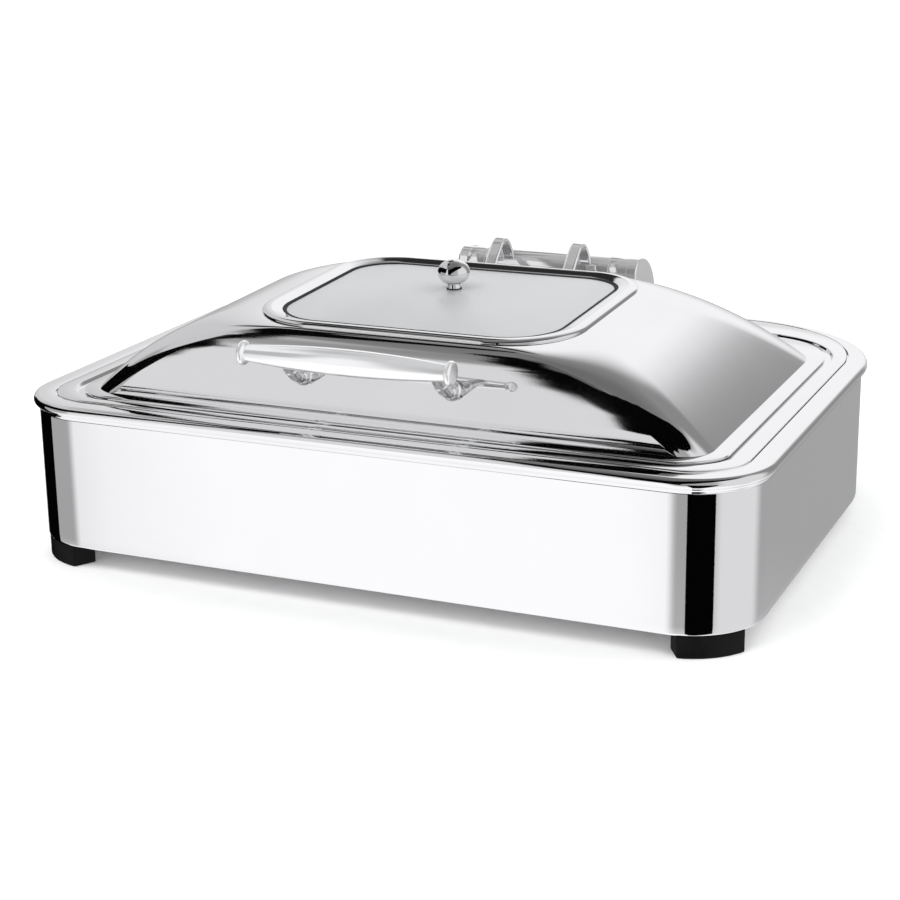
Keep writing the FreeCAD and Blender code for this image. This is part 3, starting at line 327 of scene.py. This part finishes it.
def build_food_pan():
    t = 1.2
    flange = Outline(265, PAN_Y - 162.5, PAN_Y + 162.5, 34, 34)
    mouth = flange.inset(11)
    top = SHELF_Z + t
    bottom = SHELF_Z - 65.0
    draw_in = 7.0
    taper = draw_in / (top - bottom)

    def tub(o, bend, floor):
        wall = [o.inset(taper * (top - z)).ring(z) for z in (top - 2.2, 115, floor + bend)]
        return wall + floor_bend(o.inset(draw_in - taper * bend * 0.6), bend, floor, 9)

    rings = [flange.ring(top - t), flange.ring(top - 0.4), flange.inset(0.4).ring(top)]
    rings += [mouth.inset(-1.6).ring(top), mouth.inset(t - 0.6).ring(top - 0.35)]
    rings += [mouth.inset(t).ring(top - 1.2)]
    rings += tub(mouth.inset(t), 11.8, bottom + t)
    under = [flange.ring(top - t), mouth.inset(-1.0).ring(top - t), mouth.ring(top - t - 0.8)]
    under += tub(mouth, 13.0, bottom)
    verts, faces = rings_mesh(under, cap_end=True)
    parts = rings_mesh(rings, cap_end=True), (verts, flipped(faces))
    return make("food_pan_gn", *joined(*parts), "food_pan")


def build_window_frame():
    h = FRAME_H
    out = FRAME_OUT
    sec = [(out - 1.5, 0.0), (out, 0.02), (out + 0.05, 0.35), (out - 0.1, 0.8)]
    sec += [(out - (out - 1.2) * (1 - math.cos(a)) - 0.1, 0.8 + (h - 0.8) * math.sin(a))
            for a in np.linspace(0.06, 1, 16) * math.pi / 2]
    sec += [(0.6, h + 0.06), (0.0, h + 0.02), (-0.6, h - 0.25)]
    sec += [(-0.6 - (FRAME_IN - 0.6) * q, h - 0.25 - (h - 1.25) * q) for q in (0.1, 0.5, 0.93)]
    sec += [(-FRAME_IN, 0.9), (-FRAME_IN - 0.05, 0.5), (-FRAME_IN, 0.02), (-FRAME_IN + 1.5, 0.0)]
    rings = [on_window(r) for r in swept(CREST, sec)]
    return make("window_bezel", *rings_mesh(rings, loop=True), "window_frame")


def glass_height(s):
    """Top of the glass over the window's plane, from the edge at 0 to the knob at 1."""
    return -1.0 + GLASS_RISE * (1 - (1 - s) ** 2)


def glass_mix(s):
    """Outline of the glass between its edge at 0 and a small square at the knob at 1."""
    edge = CREST.inset(OPENING_IN + 2.0)
    flat = 8.5
    ky = KNOB_Y - WINDOW_Y

    def mix(a, b):
        return a + (b - a) * s

    return Outline(mix(edge.half, flat), mix(edge.front, ky - flat), mix(edge.rear, ky + flat),
                   mix(edge.r_front, flat - 0.5), mix(edge.r_rear, flat - 0.5))


def build_glass():
    ss = np.linspace(0, 1, 26)
    rings = [glass_mix(s).ring(glass_height(s)) for s in ss]
    low = [rings[0]] + [glass_mix(s).ring(glass_height(s) - GLASS_T) for s in ss]
    verts, faces = rings_mesh([on_window(r) for r in low], cap_end=True)
    parts = rings_mesh([on_window(r) for r in rings], cap_end=True), (verts, flipped(faces))
    return make("window_pane", *joined(*parts), "window_glass")


def build_gasket():
    hold = CREST.inset(OPENING_IN)
    show = CREST.inset(FRAME_IN + SEAL_SHOW)
    lip = show.inset(0.1)
    rings = [hold.ring(0), show.inset(-4.0).ring(0.5), show.inset(-0.6).ring(0.6), show.ring(0.3)]
    rings += [lip.ring(-0.2), lip.ring(-0.5), lip.ring(-6.0), hold.ring(-6.0)]
    return make("window_seal", *rings_mesh([on_window(r) for r in rings], loop=True), "window_gasket")


def lathe_x(profile, cy, cz, seg=ROUND_SEG):
    """Rings about a line along X from (x, radius) points."""
    a = np.linspace(0, 2 * math.pi, seg, endpoint=False)
    return [np.stack([np.full(seg, x), cy + r * np.sin(a), cz + r * np.cos(a)], -1) for x, r in profile]


def rounded(x0, x1, r):
    """Profile of a cylinder with round edges."""
    edge = 0.8
    t = np.linspace(0, math.pi / 2, 5)
    a = [(x0 + edge - edge * math.cos(q), r - edge + edge * math.sin(q)) for q in t]
    b = [(x1 - edge + edge * math.sin(q), r - edge + edge * math.cos(q)) for q in t]
    return a + b


def both_sides(prof, cy, cz, seg, **caps):
    """A turned piece at -X and its mirror image at +X."""
    verts, faces = rings_mesh(lathe_x([(-x, r) for x, r in prof], cy, cz, seg), **caps)
    return joined((verts, flipped(faces)), rings_mesh(lathe_x(prof, cy, cz, seg), **caps))


def build_bar():
    prof = [(x, BAR_R - (BAR_R - BAR_END_R) * (x / BAR_HALF) ** 2)
            for x in np.linspace(-BAR_HALF, BAR_HALF, 61)]
    rings = lathe_x(prof, BAR_Y, BAR_Z)
    return make("handle_grip", *rings_mesh(rings, cap_start=True, cap_end=True), "handle_bar")


def build_caps():
    prof = [(BAR_HALF, 7.0), (BAR_HALF + 0.6, 7.8)]
    prof += [(88.2 + 2.6 * math.sin(q), 7.4 + 2.4 * math.cos(q))
             for q in np.linspace(-math.pi / 2, math.pi / 2, 15)[2:]]
    prof += [(90.9, 6.0), (91.0, 4.4)]
    mesh = both_sides(prof, BAR_Y, BAR_Z, 72, cap_start=True, cap_end=True)
    return make("handle_collars", *mesh, "handle_end_caps")


def build_barrel():
    prof = rounded(-BARREL_HALF, BARREL_HALF, BARREL_R)
    prof += [(BARREL_HALF, BARREL_BORE), (-BARREL_HALF, BARREL_BORE)]
    return make("hinge_tube", *rings_mesh(lathe_x(prof, AXIS_Y, AXIS_Z), loop=True), "hinge_barrel")


def build_collars():
    prof = rounded(COLLAR_IN, COLLAR_OUT, BARREL_R) + [(COLLAR_OUT, SHAFT_R), (COLLAR_IN, SHAFT_R)]
    mesh = both_sides(prof, AXIS_Y, AXIS_Z, ROUND_SEG, loop=True)
    return make("hinge_fixed_collars", *mesh, "hinge_collars")


def build_knob():
    low = GLASS_RISE + KNOB_LIFT
    middle = low + KNOB_HALF
    t = np.linspace(math.radians(-67), math.radians(89.5), 52)
    prof = [(0.5, GLASS_RISE), (6.0, GLASS_RISE), (5.6, low), (5.5, low + 0.8)]
    prof += [(KNOB_R * math.cos(a), middle + KNOB_HALF * math.sin(a))
             for a in t if KNOB_R * math.cos(a) > 0.2]
    ky = KNOB_Y - WINDOW_Y
    a = np.linspace(0, 2 * math.pi, ROUND_SEG, endpoint=False)
    rings = [on_window(np.stack([r * np.cos(a), ky + r * np.sin(a), np.full(ROUND_SEG, z)], -1))
             for r, z in prof]
    return make("glass_ball_knob", *rings_mesh(rings, cap_start=True, cap_end=True), "glass_knob")


# node helpers

def new_material(name):
    m = bpy.data.materials.new(name)
    m.use_nodes = True
    nt = m.node_tree
    nt.nodes.clear()
    out = nt.nodes.new("ShaderNodeOutputMaterial")
    p = nt.nodes.new("ShaderNodeBsdfPrincipled")
    nt.links.new(p.outputs[0], out.inputs[0])
    return m, nt, p


def node(nt, kind, inputs=None, **props):
    n = nt.nodes.new(kind)
    for k, v in props.items():
        setattr(n, k, v)
    for k, v in (inputs or {}).items():
        if isinstance(v, bpy.types.NodeSocket):
            nt.links.new(v, n.inputs[k])
        else:
            n.inputs[k].default_value = v
    return n


def math_node(nt, op, a, b=0.0, c=0.0):
    return node(nt, "ShaderNodeMath", {0: a, 1: b, 2: c}, operation=op).outputs[0]


def remap(nt, value, lo, hi, to_lo, to_hi):
    """A smooth step from one range to another."""
    n = node(nt, "ShaderNodeMapRange", {0: value, 1: lo, 2: hi, 3: to_lo, 4: to_hi})
    n.interpolation_type = "SMOOTHSTEP"
    return n.outputs[0]


def noise(nt, vector, scale, detail, roughness=0.5):
    inputs = {"Vector": vector, "Scale": scale, "Detail": detail, "Roughness": roughness}
    return node(nt, "ShaderNodeTexNoise", inputs).outputs["Fac"]


def own_place(nt):
    return node(nt, "ShaderNodeTexCoord").outputs["Object"]


def bump_on(nt, p, height, strength):
    b = node(nt, "ShaderNodeBump", {"Height": height, "Strength": strength, "Distance": 0.0002})
    nt.links.new(b.outputs[0], p.inputs["Normal"])


def ramp(nt, value, stops):
    n = nt.nodes.new("ShaderNodeValToRGB")
    nt.links.new(value, n.inputs[0])
    el = n.color_ramp.elements
    el[0].position, el[0].color = stops[0][0], (*stops[0][1], 1)
    el[1].position, el[1].color = stops[-1][0], (*stops[-1][1], 1)
    for pos, col in stops[1:-1]:
        e = el.new(pos)
        e.color = (*col, 1)
    return n.outputs[0]


def steel(name, base, rough, scratch, along=(1.0, 1.0, 1.0), bump=0.02, metal=1.0):
    """Polished or brushed steel: haze and hairlines in the roughness, the hairlines also in the bump."""
    m, nt, p = new_material(name)
    pos = own_place(nt)
    haze = noise(nt, pos, 9.0, 4.0, 0.6)
    stretch = node(nt, "ShaderNodeMapping", {"Vector": pos, "Scale": along}).outputs[0]
    hair = noise(nt, stretch, 900.0, 3.0, 0.7)
    r = math_node(nt, "MULTIPLY", remap(nt, haze, 0.45, 0.75, 0.0, 1.0), rough * 0.8)
    r = math_node(nt, "ADD", r, rough * 0.7)
    r = math_node(nt, "ADD", r, remap(nt, hair, 0.5, 0.8, 0.0, scratch))
    nt.links.new(r, p.inputs["Roughness"])
    dull = tuple(c * 0.97 for c in base)
    nt.links.new(ramp(nt, haze, [(0.3, dull), (0.7, base)]), p.inputs["Base Color"])
    bump_on(nt, p, hair, bump)
    p.inputs["Metallic"].default_value = metal
    return m


def plastic(name, base, rough, grain, bump=0.25):
    """Moulded plastic or rubber: fine grain, with wear in the colour and the roughness."""
    m, nt, p = new_material(name)
    pos = own_place(nt)
    wear = noise(nt, pos, 30.0, 5.0, 0.7)
    light = tuple(min(1.0, c * 1.6 + 0.003) for c in base)
    nt.links.new(ramp(nt, wear, [(0.35, base), (0.75, light)]), p.inputs["Base Color"])
    nt.links.new(remap(nt, wear, 0.3, 0.7, rough - 0.08, rough + 0.08), p.inputs["Roughness"])
    bump_on(nt, p, noise(nt, pos, grain, 2.0), bump)
    p.inputs["Specular IOR Level"].default_value = 0.12
    return m


def glass(name):
    """Clear pane with a breath of haze."""
    m, nt, p = new_material(name)
    haze = noise(nt, own_place(nt), 7.0, 5.0)
    tones = [(0.35, (0.56, 0.57, 0.58)), (0.7, (0.66, 0.67, 0.68))]
    nt.links.new(ramp(nt, haze, tones), p.inputs["Base Color"])
    nt.links.new(remap(nt, haze, 0.35, 0.7, 0.3, 0.42), p.inputs["Roughness"])
    for socket, value in (("Transmission Weight", 0.35), ("IOR", 1.5), ("Specular IOR Level", 0.8),
                          ("Coat Weight", 0.25), ("Coat Roughness", 0.3)):
        p.inputs[socket].default_value = value
    return m


MIRROR = steel("mirror_steel", (0.93, 0.93, 0.935), 0.035, 0.02)
SATIN = steel("satin_steel", (0.97, 0.97, 0.975), 0.18, 0.04, bump=0.03, metal=0.66)
POLISHED = steel("polished_steel", (0.97, 0.97, 0.975), 0.08, 0.02, bump=0.02, metal=0.76)
BRUSHED = steel("brushed_steel_sheet", (0.72, 0.72, 0.73), 0.22, 0.12, along=(0.03, 1.0, 1.0), bump=0.15)
PLATE = steel("induction_plate_steel", (0.55, 0.55, 0.56), 0.3, 0.15, along=(1.0, 0.03, 1.0), bump=0.2)
SCREW = steel("screw_steel_finish", (0.62, 0.62, 0.63), 0.2, 0.1, bump=0.1)
SPRING = steel("spring_wire_finish", (0.32, 0.32, 0.34), 0.25, 0.1, bump=0.1)
FOOT = plastic("foot_moulding", (0.003, 0.003, 0.0033), 0.5, 1400.0)
RUBBER = plastic("silicone_black", (0.012, 0.012, 0.012), 0.55, 900.0, 0.15)
BUSH = plastic("bush_natural", (0.62, 0.59, 0.5), 0.45, 900.0, 0.1)
DAMPER = plastic("damper_moulding", (0.02, 0.02, 0.022), 0.42, 900.0, 0.15)
PANE = glass("window_pane_glass")
BY_SLOT = {
    "steel_mirror": MIRROR, "steel_brushed": BRUSHED, "induction_steel": PLATE, "screw_steel": SCREW,
    "spring_steel": SPRING, "black_foot": FOOT, "black_rubber": RUBBER, "bush_plastic": BUSH,
    "damper_black": DAMPER, "clear_glass": PANE,
}


def dress(obj, material):
    obj.data.materials.clear()
    obj.data.materials.append(material)


replaced = {
    "casing_shell": build_casing_wall(),
    "casing_rim": build_casing_rim(),
    "lid_shell": build_lid(),
    "water_pan": build_water_pan(),
    "food_pan": build_food_pan(),
    "window_frame": build_window_frame(),
    "window_glass": build_glass(),
    "window_gasket": build_gasket(),
    "handle_bar": build_bar(),
    "handle_end_caps": build_caps(),
    "hinge_barrel": build_barrel(),
    "hinge_collars": build_collars(),
    "glass_knob": build_knob(),
}
POLISHED_PIECES = "handle_leg", "hinge_arm", "hinge_barrel", "hinge_collars", "hinge_tower"
for name, obj in NODES.items():
    target = replaced.get(name, obj)
    if name in ("handle_bar", "handle_end_caps"):
        dress(target, SATIN)
    elif name.startswith(POLISHED_PIECES):
        dress(target, POLISHED)
    else:
        dress(target, BY_SLOT[SLOT_OF[name]])


# floor, studio, lamps and camera

def grey(v):
    """Linear grey of a display tone."""
    return ((v + 0.055) / 1.055) ** 2.4 if v > 0.04045 else v / 12.92


def build_floor():
    s = 6.0
    mesh = bpy.data.meshes.new("floor")
    mesh.from_pydata([(-s, -s, 0), (s, -s, 0), (s, s, 0), (-s, s, 0)], [], [(0, 1, 2, 3)])
    obj = bpy.data.objects.new("floor", mesh)
    bpy.context.scene.collection.objects.link(obj)
    m, nt, p = new_material("floor_paper")
    tones = [(0.3, (0.93, 0.93, 0.93)), (0.7, (0.95, 0.95, 0.95))]
    nt.links.new(ramp(nt, noise(nt, own_place(nt), 60.0, 3.0), tones), p.inputs["Base Color"])
    p.inputs["Roughness"].default_value = 0.9
    p.inputs["Specular IOR Level"].default_value = 0.1
    obj.data.materials.append(m)
    obj.visible_glossy = False


# The studio that the polished steel shows. Azimuth 0 is +Y and 90 is +X, in degrees.
# backdrop: elevation, tone
BACKDROP = (
    (-90, 1.0), (-44, 0.96), (-20, 0.63), (5, 0.66), (40, 0.62), (56, 0.5), (74, 0.42), (90, 0.41),
)
# panels: azimuth, half width, fade; lowest and highest elevation, fade; tone
PANELS = [
    (-98, 22, 20, 38, 54, 6, 0.77),
    (-50, 14, 16, 8, 46, 10, 0.78),
    (-11, 10, 21, 10, 30, 24, 0.95),
    (35, 12, 16, -2, 46, 14, 0.53),
    (90, 26, 22, -50, 45, 6, 0.85),
    (-155.5, 4.5, 20, -90, -15, 5, 0.99),
    (-155, 9, 5, -8, 40, 6, 0.84),
    (-33, 7, 4, 33, 48, 4, 0.16),
]
# flags: at each elevation their first and last azimuth
FLAG_SHADE = (
    (41, 196, 207), (45, 192, 209), (48, 190, 212), (51, 189, 215), (54, 188, 217), (58, 187, 222),
    (62, 186, 231), (65, 190, 239),
)
FLAG_FRONT = (
    (-72, 140, 160), (-30, 127, 168), (-14, 128, 168), (-4, 177, 197.7), (6, 176, 197.8), (12, 172, 199.2),
    (18, 167, 200.5), (24, 158, 202.3), (30, 153, 203.8), (36, 146, 206), (40, 136, 207.3),
    (43, 128, 202), (48, 106, 193), (51, 62, 190), (58, 64, 189), (62, 72, 178), (66, 80, 174),
    (70, 92, 165), (74, 104, 140),
)
FLAG_STRIP = (
    (38, 204, 207.2), (42, 204.6, 208.6), (45, 206.9, 210.6), (48, 209.6, 213.4), (51, 212.3, 216.4),
    (54, 214.9, 219), (58, 219.3, 224.3), (60, 222, 227.6), (62, 228, 233.6), (65, 237, 243),
)
FLAG_LEFT = (
    (-46, -92, -60), (-20, -97, -46), (-6, -97, -50), (5, -100, -56), (7.5, -146, -58), (12, -146.8, -57),
    (18, -147, -68), (24, -145.8, -80), (31, -145.5, -88), (36, -142.5, -98), (40, -139.5, -110),
    (43, -138, -134.4), (46, -136.6, -133.4), (50, -133, -129), (54, -127.6, -124.2), (56, -124, -119.3),
    (59, -117, -112), (62.5, -103, -90),
)
FLAG_END = (
    (50.5, 312, 317), (53, 309, 317), (56, 300, 309), (59.5, 278, 300), (61, 262, 304), (63, 258, 307),
    (65, 268, 305), (67, 286, 299),
)
BLACK = 0.001
# the flags with their edge softness and tone
FLAGS = (
    (FLAG_SHADE, 2.5, grey(0.35)), (FLAG_FRONT, 0.4, BLACK), (FLAG_STRIP, 0.4, BLACK),
    (FLAG_LEFT, 0.5, BLACK), (FLAG_END, 0.5, 0.002),
)
GLOSSY_STRENGTH = 1.08
FILL_STRENGTH = 1.16


def curve(nt, el, points):
    """A value over elevation, straight between points."""
    lo = min(v for _, v in points)
    span = max(v for _, v in points) - lo + 1e-6
    x = math_node(nt, "MULTIPLY_ADD", el, 1 / 180, 0.5)
    tone = ramp(nt, x, [((e + 90) / 180, ((v - lo) / span,) * 3) for e, v in points])
    return math_node(nt, "MULTIPLY_ADD", tone, span, lo)


def over(nt, tone, mask, shade):
    """A shade laid over a tone where the mask is 1."""
    keep = math_node(nt, "MULTIPLY", tone, math_node(nt, "SUBTRACT", 1.0, mask))
    return math_node(nt, "MULTIPLY_ADD", mask, shade, keep)


def build_world():
    w = bpy.data.worlds.new("studio")
    bpy.context.scene.world = w
    w.use_nodes = True
    nt = w.node_tree
    nt.nodes.clear()
    out = node(nt, "ShaderNodeOutputWorld")
    tc = node(nt, "ShaderNodeTexCoord")
    x, y, z = node(nt, "ShaderNodeSeparateXYZ", {0: tc.outputs["Generated"]}).outputs
    az = math_node(nt, "MULTIPLY", math_node(nt, "ARCTAN2", x, y), 180 / math.pi)
    el = math_node(nt, "MULTIPLY", math_node(nt, "ARCSINE", z), 180 / math.pi)

    def turn(centre):
        """Azimuth measured from centre, -180 to 180."""
        return math_node(nt, "WRAP", math_node(nt, "SUBTRACT", az, centre), 180.0, -180.0)

    tone = curve(nt, el, [(e, grey(t)) for e, t in BACKDROP])
    for centre, half, fade, lo, hi, soft, shade in PANELS:
        across = remap(nt, math_node(nt, "ABSOLUTE", turn(centre)), half, half + fade, 1.0, 0.0)
        rise = remap(nt, el, lo - soft, lo, 0.0, 1.0)
        fall = remap(nt, el, hi, hi + soft, 1.0, 0.0)
        mask = math_node(nt, "MULTIPLY", across, math_node(nt, "MINIMUM", rise, fall))
        tone = over(nt, tone, mask, grey(shade))

    for flag, soft, dark in FLAGS:
        middle = (flag[0][1] + flag[0][2]) / 2
        off = turn(middle)
        first = math_node(nt, "SUBTRACT", off, curve(nt, el, [(e, a - middle) for e, a, _ in flag]))
        last = math_node(nt, "SUBTRACT", curve(nt, el, [(e, b - middle) for e, _, b in flag]), off)
        inside = math_node(nt, "MINIMUM", first, last)
        inside = math_node(nt, "MINIMUM", inside, math_node(nt, "SUBTRACT", el, flag[0][0]))
        inside = math_node(nt, "MINIMUM", inside, math_node(nt, "SUBTRACT", flag[-1][0], el))
        tone = over(nt, tone, remap(nt, inside, -soft / 2, soft / 2, 0.0, 1.0), dark)

    col = node(nt, "ShaderNodeCombineColor", {0: tone, 1: tone, 2: math_node(nt, "MULTIPLY", tone, 1.012)})
    lp = node(nt, "ShaderNodeLightPath")
    glossy = node(nt, "ShaderNodeBackground", {0: col.outputs[0], 1: GLOSSY_STRENGTH}).outputs[0]
    white = node(nt, "ShaderNodeBackground", {0: (1, 1, 1, 1), 1: 1.0}).outputs[0]
    fill = node(nt, "ShaderNodeBackground", {0: (0.99, 0.995, 1.0, 1), 1: FILL_STRENGTH}).outputs[0]
    lit = node(nt, "ShaderNodeMixShader", {0: lp.outputs["Is Glossy Ray"], 1: fill, 2: glossy}).outputs[0]
    seen = math_node(nt, "MAXIMUM", lp.outputs["Is Camera Ray"], lp.outputs["Is Transmission Ray"])
    both = node(nt, "ShaderNodeMixShader", {0: seen, 1: lit, 2: white}).outputs[0]
    nt.links.new(both, out.inputs[0])


FOCAL_PIXELS = 2038.19
PHOTO_PIXELS = 900
LAMP_AIM = (0, 0, 0.1)


def area(name, place, size, power):
    light = bpy.data.lights.new(name, "AREA")
    light.shape = "RECTANGLE"
    light.size, light.size_y = size
    light.energy = power
    obj = bpy.data.objects.new(name, light)
    obj.location = place
    obj.rotation_euler = (Vector(LAMP_AIM) - Vector(place)).to_track_quat("-Z", "Y").to_euler()
    obj.visible_glossy = False
    obj.visible_camera = False
    bpy.context.scene.collection.objects.link(obj)


def build_camera():
    """The photograph's camera, as solved from its straight edges."""
    sensor = 36.0
    data = bpy.data.cameras.new("camera")
    data.sensor_width = sensor
    data.lens = sensor * FOCAL_PIXELS / PHOTO_PIXELS
    data.clip_start = 0.05
    data.clip_end = 60.0
    cam = bpy.data.objects.new("camera", data)
    right = Vector((0.91702663, 0.39861002, -0.01312311))
    up = Vector((-0.10713288, 0.27789384, 0.95461906))
    back = right.cross(up)
    rot = Matrix((right, up, back)).transposed().to_4x4()
    cam.matrix_world = Matrix.Translation((0.68014, -1.59518, 0.60541)) @ rot
    bpy.context.scene.collection.objects.link(cam)
    bpy.context.scene.camera = cam


build_floor()
build_world()
area("key", (-0.6, -1.4, 2.2), (1.6, 1.2), 22)
area("fill", (1.6, 0.6, 1.8), (1.4, 1.4), 12)
build_camera()
bpy.context.scene.view_settings.view_transform = "Standard"
